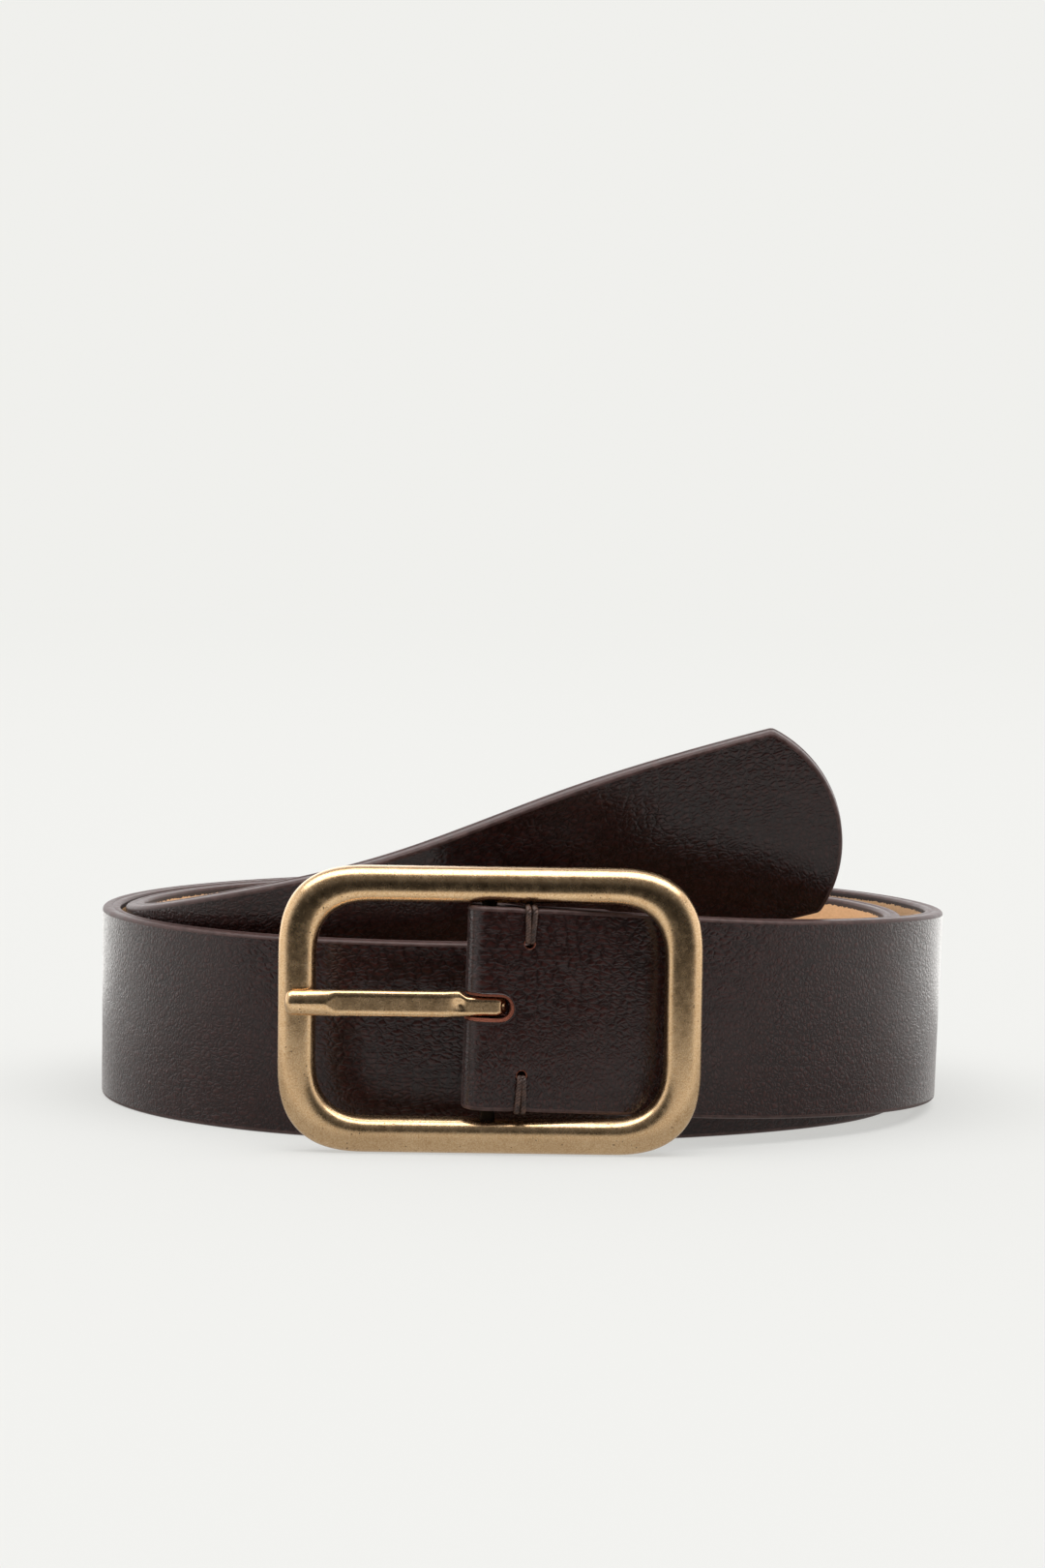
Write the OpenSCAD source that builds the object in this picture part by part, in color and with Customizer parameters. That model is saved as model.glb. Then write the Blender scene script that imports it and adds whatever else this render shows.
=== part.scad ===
// A gentleman's leather belt, stored as a coil that stands on its lower edge.
// The buckle stands upright at the front. The strap leaves it to the right, runs twice round the
// coil anticlockwise as seen from above, and its free tail rises behind the buckle to a rounded tip.
// X is to the right, Y is towards the back and Z is up. The origin is on the surface that the belt
// stands on, under the middle of the coil. All sizes are in millimetres.

/* [Strap] */
// Width of the strap
strap_w = 40; // [39:0.5:41]
// Thickness of the dark outer ply
outer_t = 2.2; // [1.8:0.1:2.4]
// Thickness of the tan lining ply
lining_t = 1.6; // [1.2:0.1:1.8]
// Size of the chamfer along each painted edge
edge_bevel = 0.6; // [0.3:0.1:0.8]
// Radius of the rounded end of the tail
tip_r = 27; // [25:1:40]
// Radius of the corners where the tail's end meets its edges
tip_corner_r = 2; // [1:0.5:4]

/* [Punched holes] */
// Number of holes in the tail
hole_count = 5; // [1:2:7]
// Diameter of a hole
hole_d = 4.5; // [3.5:0.1:5]
// Distance from one hole to the next
hole_pitch = 25; // [20:1:26]
// Distance from the end of the tail to its first hole
first_hole = 110; // [100:5:120]

/* [Buckle frame] */
// Outer width of the frame
frame_w = 82.5; // [80:0.5:84]
// Height of the frame's opening beyond the strap's width
opening_slack = 3; // [2.5:0.25:4]
// Width of the frame's rails
rail_w = 6.75; // [6:0.25:7]
// Depth of the frame from its flat back to the crest of its domed front
rail_d = 4.6; // [4.6:0.1:5]
// Radius of the dome across a rail
dome_r = 3.9; // [3.8:0.1:5]
// Outer radius of the frame's corners
corner_r = 17.5; // [14:0.5:19]

/* [Centre bar and prong] */
// Diameter of the centre bar
bar_d = 3; // [2.8:0.1:3.2]
// How deep each end of the bar is pressed into its rail
bar_grip = 3.5; // [2:0.5:5]
// Outer diameter of the eye that hangs the prong on the bar
eye_d = 6.6; // [6:0.1:7]
// Height of the prong across its flat face
prong_h = 4.8; // [4:0.1:5]
// Height of the prong's eye, which is narrower than its shank
eye_h = 3.7; // [3.2:0.1:4]
// Thickness of the prong from front to back
prong_t = 2.5; // [2:0.1:2.8]
// Distance from the bar's axis to the prong's tip
prong_reach = 39.6; // [38:0.2:40]

/* [Turned end and stitches] */
// How far the turned end runs back from the bar's axis
chape_len = 24.5; // [20:0.5:28]
// Part of its full thickness that the strap keeps where it is skived to turn round the bar
skived = 0.6; // [0.6:0.05:0.8]
// How far the prong's slot runs from the bar's axis
slot_reach = 4.8; // [4.6:0.1:6]
// Height of the prong's slot
slot_h = 5.4; // [5.2:0.1:6]
// Distance from the bar's axis to the two stitches
stitch_reach = 7.2; // [7:0.1:9]
// Distance from the strap's edge to the stitch holes
stitch_inset = 7.6; // [6:0.2:9]
// Diameter of the bundle of waxed thread in a stitch
thread_d = 1.8; // [1.4:0.1:2]

/* [Hidden] */
$fn = 48;

// The strap's route: a smooth curve is drawn through the neighbourhood of these rows. Each row is
// x, y, the height of the strap's centre line, and how many degrees its upper edge leans outwards.
ROUTE = [
    // From the buckle along the front to the right-hand end, coming down towards the surface
    [-68, -77, 30, 0], [-33, -75, 29.5, 0], [6, -73, 29.2, 0], [45, -57, 25, 2],
    [76, -38, 23.8, 0], [90, -1, 21, 2], [81, 40, 20, 1],
    // Outer run: along the back, round the left-hand end, and along the front behind the buckle
    [50, 67, 20, 0], [11, 76, 20, 0], [-27, 71, 20, 0], [-61, 55, 20, 0], [-84, 30, 20, 0],
    [-91, 0, 20, 0], [-80, -27, 20, 0], [-57, -47, 20, 0], [-28, -56, 20, 0], [4, -56, 20, 0],
    [39, -47, 20, 0],
    // Inner run: round the right-hand end, along the back and round the left-hand end
    [71, -27, 20, 0], [82, 3, 20, 0], [69, 36, 20, 0], [35, 59, 20, 0], [-8, 67, 20, 0],
    [-47, 59, 20, 0], [-73, 38, 20, 0], [-83, 10, 20, 6],
    // The tail rises along the front of the coil's hollow, to the right
    [-77, -18, 22, 13], [-55, -39, 28.5, 13], [-23, -46, 36.5, 14], [12, -39, 51.5, 13],
    [48, -37, 62, 14], [84, -42, 71.5, 14], [120, -49, 80, 13],
];
// Where on the route the strap passes in front of the bar, and where its tail ends, in rows
bar_u = 0.675;
tip_u = 29.42;

bar_r = bar_d / 2;
bar_gap = 1;            // slack between the bar and the fold that turns round it
eye_clearance = 0.05;   // running clearance of the prong's eye on the bar
frame_h = strap_w + opening_slack + 2 * rail_w;
stations_per_row = 5;   // cross-sections of the strap for each row of the route
ply_inset = 0.3;        // how far the lining's edges stay inside the outer ply's
chape_gap = 0.2;        // gap between the strap and its turned end
thicken_len = 60;       // distance over which the skived strap comes back to full thickness

// ---- the strap's centre line ----------------------------------------------------------------

function unit(v) = v / norm(v);

// Weights of four neighbouring rows at t, from 0 to 1, along a cubic B-spline, and their slopes
function row_weights(t) =
    [pow(1 - t, 3), 3 * t * t * t - 6 * t * t + 4, -3 * t * t * t + 3 * t * t + 3 * t + 1, t * t * t] / 6;
function row_slopes(t) =
    [-pow(1 - t, 2), 3 * t * t - 4 * t, -3 * t * t + 2 * t + 1, t * t] / 2;
function rows_near(u) = [for (k = [0:3]) ROUTE[floor(u) + k]];

// The strap's own frame at u: its point, the way it runs, its outward side and its upward side
function route_frame(u) =
    let (at = row_weights(u - floor(u)) * rows_near(u),
         slope = row_slopes(u - floor(u)) * rows_near(u),
         run = unit([slope.x, slope.y, slope.z]),
         upright = unit([0, 0, 1] - run.z * run),
         lean = at[3],
         up = upright * cos(lean) + cross(run, upright) * sin(lean))
    [[at.x, at.y, at.z], run, cross(run, up), up];

// Millimetres for each row of the route, next to the bar
row_len = norm(let (slope = row_slopes(bar_u) * rows_near(bar_u)) [slope.x, slope.y, slope.z]);

// Distance along the strap at each station from the bar to the tip, paired with the station's u
station_count = round((tip_u - bar_u) * stations_per_row);
station_u = [for (i = [0:station_count]) bar_u + (tip_u - bar_u) * i / station_count];
station_at = [for (u = station_u) route_frame(u)[0]];
station_s = [for (i = 0, s = 0; i <= station_count;
                  s = s + (i < station_count ? norm(station_at[i + 1] - station_at[i]) : 0), i = i + 1) s];
run_len = station_s[station_count];
u_at_length = [for (i = [0:station_count]) [station_s[i], station_u[i]]];
function u_from_bar(s) = lookup(s, u_at_length);
function u_from_tip(s) = lookup(run_len - s, u_at_length);

// ---- the fold round the bar -----------------------------------------------------------------
// The fold's shape is in two directions: along the front ply from the bar, and inwards from it.

fold_r = bar_r + bar_gap + skived * lining_t;     // radius of the plies' join round the bar
chape_sep = lining_t * (1 + skived) + chape_gap;  // from the front ply's join to the turned end's
ease_r = 8;                                       // radius that brings the turned end alongside
ease_angle = acos((ease_r - fold_r + chape_sep) / (ease_r + fold_r));
fold_steps = 18;
ease_steps = 5;

// A station is its place on the join of the plies, its outward and upward sides, half its width,
// and the share of the full thickness that it keeps
function fold_station(along, inward, turn) =
    let (f = route_frame(bar_u + along / row_len))
    [f[0] - f[2] * inward, f[1] * sin(turn) - f[2] * cos(turn), f[3], strap_w / 2, skived];

chape_stations = [for (along = [chape_len, (chape_len + (ease_r + fold_r) * sin(ease_angle)) / 2])
    fold_station(along, chape_sep, 0)];
ease_stations = [for (i = [0:ease_steps])
    let (turn = ease_angle * i / ease_steps)
    fold_station((ease_r + fold_r) * sin(ease_angle) - ease_r * sin(turn),
                 chape_sep + ease_r * (1 - cos(turn)), turn)];
fold_stations = [for (i = [1:fold_steps])
    let (turn = ease_angle - (ease_angle + 180) * i / fold_steps)
    fold_station(fold_r * sin(turn), fold_r * (1 + cos(turn)), turn)];

// ---- the tail's rounded end -----------------------------------------------------------------
// Distances from the tip paired with half widths: one arc across the end, and a small one at the
// corner. The first pair keeps a short flat, so that no face shrinks to nothing.

tip_flat = 1.5;
corner_at = tip_r - sqrt(pow(tip_r - tip_corner_r, 2) - pow(strap_w / 2 - tip_corner_r, 2));
arc_end = asin((strap_w / 2 - tip_corner_r) / (tip_r - tip_corner_r));
arc_start = asin(tip_flat / tip_r);
tip_steps = 8;
corner_steps = 3;
tip_outline = concat(
    [for (i = [0:tip_steps])
        let (a = arc_start + (arc_end - arc_start) * i / tip_steps)
        [tip_r * (1 - cos(a)), tip_r * sin(a)]],
    [for (i = [1:corner_steps])
        let (a = arc_end + (90 - arc_end) * i / corner_steps)
        [corner_at - tip_corner_r * cos(a), strap_w / 2 - tip_corner_r + tip_corner_r * sin(a)]]);
tip_len = tip_outline[tip_steps + corner_steps][0];

// ---- every station of the strap, from its turned end to its tip -----------------------------

function run_station(u, half, s) =
    let (f = route_frame(u))
    [f[0], f[2], f[3], half, min(1, skived + (1 - skived) * s / thicken_len)];

straight_stations = [for (i = [1:station_count])
    if (station_s[i] < run_len - tip_len - 1) run_station(station_u[i], strap_w / 2, station_s[i])];
tip_stations = [for (i = [tip_steps + corner_steps:-1:0])
    run_station(u_from_tip(tip_outline[i][0]), tip_outline[i][1], run_len)];
stations = concat(chape_stations, ease_stations, fold_stations, straight_stations, tip_stations);

// A ply's cross-section at a station: a flat bar with its two far corners bevelled, as six points.
// The ply lies between the join and the thickness t, which is negative on the inward side.
function ply_section(st, t, inset) =
    let (half = st[3] - min(inset, st[3] / 4),
         bevel = min(edge_bevel, half / 2),
         deep = t * st[4],
         shallow = deep - sign(t) * bevel)
    [for (p = [[0, -half], [shallow, -half], [deep, bevel - half],
               [deep, half - bevel], [shallow, half], [0, half]])
        st[0] + st[1] * p[0] + st[2] * p[1]];

// One closed band swept through all the stations
module ply(t, inset) {
    sides = 6;
    last = len(stations) - 1;
    points = [for (st = stations) each ply_section(st, t, inset)];
    walls = [for (i = [0:last - 1], k = [0:sides - 1])
        let (a = i * sides + k, b = i * sides + (k + 1) % sides)
        each [[a, b, b + sides], [a, b + sides, a + sides]]];
    first_cap = [for (k = [1:sides - 2]) [0, k + 1, k]];
    tip = last * sides;
    last_cap = [for (k = [1:sides - 2]) [tip, tip + k, tip + k + 1]];
    faces = concat(walls, first_cap, last_cap);
    polyhedron(points, t > 0 ? faces : [for (f = faces) [f[2], f[1], f[0]]], convexity = 10);
}

// Moves its children to the strap at u: their X along the strap, Y inwards and Z up its width
module on_strap(u) {
    f = route_frame(u);
    multmatrix([for (r = [0:2]) [f[1][r], -f[2][r], f[3][r], f[0][r]]]) children();
}

// ---- places that the buckle takes from the strap --------------------------------------------

bar_frame = route_frame(bar_u);
bar_at = bar_frame[0] - bar_frame[2] * fold_r;    // the bar's axis, at the height of the prong
stitch_u = u_from_bar(stitch_reach);
crest_y = bar_at.y - 2.9;                         // the plane of the frame's domed front
rest_gap = 0.05;                                  // between the resting prong and the rail
prong_z = bar_at.z;
thread_edge = strap_w / 2 - 0.3;                  // the thread beds into the strap's edge by this much

// Everything that is cut through both plies: the prong's slot, the stitch holes, the punched holes
module strap_cuts() {
    cut_y = 12;
    slot_r = slot_h / 2;
    translate([bar_at.x, bar_at.y, prong_z]) {
        translate([slot_reach - slot_r, 0, 0]) rotate([90, 0, 0])
            cylinder(h = cut_y, r = slot_r, center = true);
        translate([-12, -cut_y / 2, -slot_r]) cube([12 + slot_reach - slot_r, cut_y, slot_h]);
    }
    for (z = [strap_w / 2 - stitch_inset, thread_edge], side = [-1, 1])
        on_strap(stitch_u) translate([0, 0, side * z])
            rotate([90, 0, 0]) cylinder(h = 14, d = thread_d + 0.3, center = true);
    for (i = [0:hole_count - 1])
        on_strap(u_from_tip(first_hole + i * hole_pitch))
            rotate([90, 0, 0]) cylinder(h = 6, d = hole_d, center = true);
}

module strap_outer() color([0.17, 0.12, 0.11]) difference() {
    ply(outer_t, 0);
    strap_cuts();
}

module strap_lining() color([0.80, 0.62, 0.44]) difference() {
    ply(-lining_t, ply_inset);
    strap_cuts();
}

// ---- the buckle -----------------------------------------------------------------------------

// Section of a rail: X from the opening outwards and Y from the flat back to the domed front
module rail_section() {
    flat_side = rail_d - dome_r + sqrt(dome_r * dome_r - rail_w * rail_w / 4);
    square([rail_w, flat_side]);
    intersection() {
        square([rail_w, rail_d]);
        translate([rail_w / 2, rail_d - dome_r]) circle(r = dome_r, $fn = 96);
    }
}

module buckle_frame() color([0.62, 0.50, 0.33])
    translate([bar_at.x, crest_y + rail_d, frame_h / 2]) rotate([90, 0, 0]) difference() {
        union() {
            for (side = [0:3]) {
                across = side % 2 == 0 ? frame_w : frame_h;
                away = side % 2 == 0 ? frame_h : frame_w;
                rotate([0, 0, 90 * side]) translate([0, away / 2 - rail_w, 0]) rotate([90, 0, 90])
                    linear_extrude(across - 2 * corner_r, center = true) rail_section();
            }
            for (quarter = [0:3]) {
                x = (frame_w / 2 - corner_r) * (quarter == 0 || quarter == 3 ? 1 : -1);
                y = (frame_h / 2 - corner_r) * (quarter < 2 ? 1 : -1);
                translate([x, y, 0]) rotate([0, 0, 90 * quarter])
                    rotate_extrude(angle = 90) translate([corner_r - rail_w, 0]) rail_section();
            }
        }
        translate([0, 0, crest_y + rail_d - bar_at.y]) bar_pin();
    }

// The bar's cylinder, upright in the plane of the frame
module bar_pin() rotate([90, 0, 0])
    cylinder(h = frame_h - 2 * rail_w + 2 * bar_grip, r = bar_r, center = true);

module centre_bar() color([0.55, 0.44, 0.29])
    translate([bar_at.x, bar_at.y, frame_h / 2]) rotate([90, 0, 0]) bar_pin();

// The prong seen from above, with the bar's axis at the origin: an eye round the bar, a shank that
// leaves its front, and a tip that steps forward to lie on the front of the left-hand rail
module prong_plan() {
    eye_r = eye_d / 2;
    shank_y = -eye_r;                              // front of the shank
    tip_back = crest_y - bar_at.y - rest_gap;      // back of the tip, just off the rail
    step = tip_back - prong_t - shank_y;           // how far the tip stands forward of the shank
    rail_inside = frame_w / 2 - rail_w;
    circle(r = eye_r);
    polygon([[0, shank_y], [0, shank_y + prong_t], [4 - rail_inside, shank_y + prong_t],
             [1 - rail_inside, tip_back], [1.2 - prong_reach, tip_back], [-prong_reach, tip_back - 0.9],
             [-prong_reach, shank_y + step + 0.8], [0.8 - prong_reach, shank_y + step],
             [1 - rail_inside, shank_y + step], [5.5 - rail_inside, shank_y]]);
}

// The prong seen from the front: a rounded tip, straight sides, and a taper down to the eye
module prong_face() {
    tip_round = prong_h / 2 - 0.2;
    neck_len = 9;                                  // from the tip to where the shank is at full height
    taper_at = -4;                                 // where the taper starts, from the bar's axis
    translate([tip_round - prong_reach, 0]) circle(r = tip_round);
    translate([tip_round - prong_reach, -tip_round]) square([neck_len, 2 * tip_round]);
    translate([neck_len - prong_reach, -prong_h / 2]) square([prong_reach - neck_len + taper_at, prong_h]);
    polygon([[taper_at, -prong_h / 2], [eye_d / 2, -eye_h / 2], [eye_d / 2, eye_h / 2],
             [taper_at, prong_h / 2]]);
}

module prong() color([0.66, 0.53, 0.36]) translate([bar_at.x, bar_at.y, prong_z]) difference() {
    intersection() {
        translate([0, 0, -prong_h / 2]) linear_extrude(prong_h) prong_plan();
        rotate([90, 0, 0]) linear_extrude(20, center = true) prong_face();
    }
    cylinder(h = 2 * prong_h, r = bar_r + eye_clearance, center = true);
}

// ---- the stitches ---------------------------------------------------------------------------

// A closed loop of round thread in the YZ plane with rounded corners, from y0 to y1 and z0 to z1
module thread_loop(y0, y1, z0, z1) {
    r = thread_d / 2;
    bend = r + 0.3;
    for (y = [y0, y1])
        translate([0, y, z0 + bend]) cylinder(h = z1 - z0 - 2 * bend, r = r);
    for (z = [z0, z1])
        translate([0, y0 + bend, z]) rotate([-90, 0, 0]) cylinder(h = y1 - y0 - 2 * bend, r = r);
    for (corner = [[y0 + bend, z0 + bend, 180], [y1 - bend, z0 + bend, 270],
                   [y1 - bend, z1 - bend, 0], [y0 + bend, z1 - bend, 90]])
        translate([0, corner[0], corner[1]]) rotate([90, 0, 90]) rotate([0, 0, corner[2]])
            rotate_extrude(angle = 90) translate([bend, 0]) circle(r = r);
}

// The loop goes out through the hole, over a groove in the strap's upper edge, and down behind the
// turned end
module stitch_loop() {
    r = thread_d / 2;
    front = outer_t * (skived + (1 - skived) * stitch_reach / thicken_len) + r;
    back = chape_sep + outer_t * skived + r;
    thread_loop(-front, back, strap_w / 2 - stitch_inset, thread_edge);
}

module stitch_top() color([0.13, 0.09, 0.08]) on_strap(stitch_u) stitch_loop();

// The lower stitch is the upper one turned over about the strap's centre line
module stitch_bottom() color([0.13, 0.09, 0.08]) on_strap(stitch_u) mirror([0, 0, 1]) stitch_loop();

strap_outer();
strap_lining();
buckle_frame();
centre_bar();
prong();
stitch_top();
stitch_bottom();
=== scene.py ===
"""A gentleman's leather belt, coiled twice on its lower edge, with a brass centre-bar buckle in front.

The frame's axes hold: X to the right, Y to the back, Z up. Shapes are worked out in millimetres, and
MM turns them into metres where a mesh is made. The strap is described flat, by s along it from the
bar, h across it from its centre line and d outwards from the join of its two plies, and one function
bends that flat description round the coil.
"""
import math

import bpy
import numpy as np
from mathutils import Matrix, Vector, noise
from mathutils.geometry import delaunay_2d_cdt
from mathutils.kdtree import KDTree


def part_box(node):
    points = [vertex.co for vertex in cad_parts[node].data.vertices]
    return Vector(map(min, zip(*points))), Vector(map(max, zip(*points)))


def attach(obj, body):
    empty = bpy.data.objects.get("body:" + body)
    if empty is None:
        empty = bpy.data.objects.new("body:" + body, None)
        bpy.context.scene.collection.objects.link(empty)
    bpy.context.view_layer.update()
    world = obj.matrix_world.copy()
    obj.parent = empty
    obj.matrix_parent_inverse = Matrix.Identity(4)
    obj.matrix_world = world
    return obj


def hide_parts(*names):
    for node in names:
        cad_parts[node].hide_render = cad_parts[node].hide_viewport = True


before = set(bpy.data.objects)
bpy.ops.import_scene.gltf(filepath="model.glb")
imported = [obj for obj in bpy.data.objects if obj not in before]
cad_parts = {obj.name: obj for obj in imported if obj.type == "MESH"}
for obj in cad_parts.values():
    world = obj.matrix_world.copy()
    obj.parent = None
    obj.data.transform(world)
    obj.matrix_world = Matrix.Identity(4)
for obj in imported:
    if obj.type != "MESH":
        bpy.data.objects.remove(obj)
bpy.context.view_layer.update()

MM = 0.001

# ---- sizes, as in the CAD source but for the slot, whose rim is rounded here ---------------------

STRAP_W, OUTER_T, LINING_T = 40.0, 2.2, 1.6
SKIVED, THICKEN_LEN = 0.6, 60.0
TIP_R, TIP_CORNER_R = 27.0, 2.0
BAR_R, BAR_GAP = 1.5, 1.0
CHAPE_LEN, CHAPE_GAP, EASE_R = 24.5, 0.2, 8.0
HOLE_COUNT, HOLE_D, HOLE_PITCH, FIRST_HOLE = 5, 4.5, 25.0, 110.0
HALF = STRAP_W / 2

# The prong's slot: how far its front and hidden ends are from the bar, its height, and its middle's height
SLOT_REACH, SLOT_BACK_REACH, SLOT_H, SLOT_MID = 3.95, 5.4, 4.4, 0.3

# The strap's route, row by row: x, y, the height of its centre line, and its lean in degrees
ROUTE = np.array([
    (-68, -77, 30, 0), (-33, -75, 29.5, 0), (6, -73, 29.2, 0), (45, -57, 25, 2),
    (76, -38, 23.8, 0), (90, -1, 21, 2), (81, 40, 20, 1),
    (50, 67, 20, 0), (11, 76, 20, 0), (-27, 71, 20, 0), (-61, 55, 20, 0), (-84, 30, 20, 0),
    (-91, 0, 20, 0), (-80, -27, 20, 0), (-57, -47, 20, 0), (-28, -56, 20, 0), (4, -56, 20, 0),
    (39, -47, 20, 0),
    (71, -27, 20, 0), (82, 3, 20, 0), (69, 36, 20, 0), (35, 59, 20, 0), (-8, 67, 20, 0),
    (-47, 59, 20, 0), (-73, 38, 20, 0), (-83, 10, 20, 6),
    (-77, -18, 22, 13), (-55, -39, 28.5, 13), (-23, -46, 36.5, 14), (12, -39, 51.5, 13),
    (48, -37, 62, 14), (84, -42, 71.5, 14), (120, -49, 80, 13)], float)
BAR_U, TIP_U = 0.675, 29.42

# ---- small helpers -----------------------------------------------------------------------------


def unit(v):
    return v / np.linalg.norm(v, axis=-1, keepdims=True)


def smooth(x, low, high):
    """0 below low, 1 above high, and an even S between them."""
    t = np.clip((np.asarray(x, float) - low) / (high - low), 0, 1)
    return t * t * (3 - 2 * t)


def link(obj, body, slot, *stands_for):
    """Puts a new piece in the scene: it rides on a CAD body and may stand for CAD nodes."""
    bpy.context.scene.collection.objects.link(obj)
    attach(obj, body)
    if stands_for:
        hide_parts(*stands_for)
    return obj


def make_mesh(name, points, faces, materials, face_materials=None, flat=None):
    """A smooth-shaded object from points in millimetres.

    flat holds each point's place on the flat strap, for the strap's materials.
    """
    mesh = bpy.data.meshes.new(name)
    mesh.from_pydata((np.asarray(points, float) * MM).tolist(), [], [list(map(int, f)) for f in faces])
    for m in materials:
        mesh.materials.append(m)
    if face_materials is not None:
        mesh.polygons.foreach_set("material_index", np.asarray(face_materials, np.int32))
    mesh.polygons.foreach_set("use_smooth", np.ones(len(mesh.polygons), bool))
    if flat is not None:
        layer = mesh.attributes.new("flat_place", "FLOAT_VECTOR", "POINT")
        layer.data.foreach_set("vector", (np.asarray(flat, float) * MM).astype(np.float32).ravel())
    mesh.validate()
    mesh.update()
    return bpy.data.objects.new(name, mesh)


# ---- the strap's route -------------------------------------------------------------------------


def route_frames(u):
    """Points on the route, the way it runs there, and the strap's outward and upward sides."""
    u = np.atleast_1d(np.asarray(u, float))
    row = np.floor(u).astype(int)
    t = (u - row)[:, None]
    weights = np.hstack([(1 - t) ** 3, 3 * t**3 - 6 * t**2 + 4, -3 * t**3 + 3 * t**2 + 3 * t + 1, t**3]) / 6
    slopes = np.hstack([-((1 - t) ** 2), 3 * t**2 - 4 * t, -3 * t**2 + 2 * t + 1, t**2]) / 2
    near = ROUTE[row[:, None] + np.arange(4)]
    at = np.einsum("nk,nkc->nc", weights, near)
    slope = np.einsum("nk,nkc->nc", slopes, near)[:, :3]
    run = unit(slope)
    upright = unit(np.array([0, 0, 1.0]) - run[:, 2:] * run)
    lean = np.radians(at[:, 3:])
    up = upright * np.cos(lean) + np.cross(run, upright) * np.sin(lean)
    return at[:, :3], run, np.cross(run, up), up, np.linalg.norm(slope, axis=1)


FOLD_R = BAR_R + BAR_GAP + SKIVED * LINING_T
CHAPE_SEP = LINING_T * (1 + SKIVED) + CHAPE_GAP
EASE_ANGLE = math.acos((EASE_R - FOLD_R + CHAPE_SEP) / (EASE_R + FOLD_R))
EASE_END = (EASE_R + FOLD_R) * math.sin(EASE_ANGLE)
ROW_LEN = route_frames(BAR_U)[4][0]
STRAIGHT_STEPS, EASE_STEPS, TURN_STEPS, ROUTE_STEPS = 24, 20, 60, 2600


def fold_stations():
    """Stations of the turned end: straight, then an ease towards the bar, then round it to the front."""
    straight = np.linspace(CHAPE_LEN, EASE_END, STRAIGHT_STEPS, endpoint=False)
    rows = [(along, CHAPE_SEP, 0.0) for along in straight]
    for turn in np.linspace(0, EASE_ANGLE, EASE_STEPS, endpoint=False):
        rows.append((EASE_END - EASE_R * math.sin(turn), CHAPE_SEP + EASE_R * (1 - math.cos(turn)), turn))
    for turn in np.linspace(EASE_ANGLE, -math.pi, TURN_STEPS, endpoint=False):
        rows.append((FOLD_R * math.sin(turn), FOLD_R * (1 + math.cos(turn)), turn))
    along, inward, turn = np.array(rows).T
    at, run, out, up, _ = route_frames(BAR_U + along / ROW_LEN)
    side = run * np.sin(turn)[:, None] - out * np.cos(turn)[:, None]
    return at - out * inward[:, None], side, up, along


def strap_stations():
    """The whole strap as one table: s, along, then place, outward and upward sides, and thickness share."""
    back_at, back_out, back_up, back_along = fold_stations()
    u = np.linspace(BAR_U, TIP_U, ROUTE_STEPS)
    at, _, out, up, _ = route_frames(u)
    place = np.vstack([back_at, at])
    step = np.linalg.norm(np.diff(place, axis=0), axis=1)
    s = np.concatenate([[0], np.cumsum(step)])
    s -= s[len(back_at)]
    share = np.clip(SKIVED + (1 - SKIVED) * s / THICKEN_LEN, SKIVED, 1)
    along = np.concatenate([back_along, np.maximum(s[len(back_at):], 0)])
    return s, along, place, np.vstack([back_out, out]), np.vstack([back_up, up]), share


S_TABLE, ALONG, PLACE, OUT, UP, SHARE = strap_stations()
S_START, S_END = S_TABLE[0], S_TABLE[-1]


def lookup(s, table):
    """The table's row at each s, taken in a straight line between its neighbours."""
    return np.stack([np.interp(s, S_TABLE, table[:, k]) for k in range(table.shape[1])], -1)


def bend(flat):
    """Takes (s, h, d) of the flat strap to its place in the coil."""
    flat = np.asarray(flat, float)
    s, h, d = flat[:, 0], flat[:, 1:2], flat[:, 2:3]
    out, up = unit(lookup(s, OUT)), unit(lookup(s, UP))
    return lookup(s, PLACE) + up * h + out * d * np.interp(s, S_TABLE, SHARE)[:, None]


def flat_s(along):
    """Where on the turned end, behind the front, the strap is that far from the bar."""
    behind = slice(0, np.argmin(ALONG > FOLD_R))
    return float(np.interp(along, ALONG[behind][::-1], S_TABLE[behind][::-1]))


# ---- outlines on the flat strap ----------------------------------------------------------------


def arc(cx, cy, r, a0, a1, steps):
    """Points on an arc, from the angle a0 to a1 in degrees."""
    a = np.radians(np.linspace(a0, a1, steps + 1))
    return np.stack([cx + r * np.cos(a), cy + r * np.sin(a)], -1)


def close_up(loop, spacing):
    """The closed loop again, with points added so that none are further apart than spacing says."""
    made = []
    for a, b in zip(loop, np.roll(loop, -1, axis=0)):
        length = np.linalg.norm(b - a)
        done = 0.0
        while done < length - 1e-6:
            here = a + (b - a) * done / length
            made.append(here)
            step = spacing(here[0])
            done += step if length - done > 1.5 * step else length - done
    return np.array(made)


def left_normals(loop):
    """The side to the left of the way a closed loop runs: inwards, where it runs anticlockwise."""
    way = unit(np.roll(loop, -1, axis=0) - np.roll(loop, 1, axis=0))
    return np.stack([-way[:, 1], way[:, 0]], -1)


FINE_FROM, FINE_TO = -30.0, 40.0
FINE_STEP, COARSE_STEP, SLOT_STEP = 0.8, 2.4, 0.5
END_R = 3.0  # the corners of the turned end
CORNER_ARC, TIP_ARC, SLOT_ARC, HOLE_ARC = 6, 44, 16, 24  # the steps of each arc


def spacing(s):
    """How far apart the strap's points are: close round the fold and the stitches."""
    return FINE_STEP if FINE_FROM < s < FINE_TO else COARSE_STEP


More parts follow.
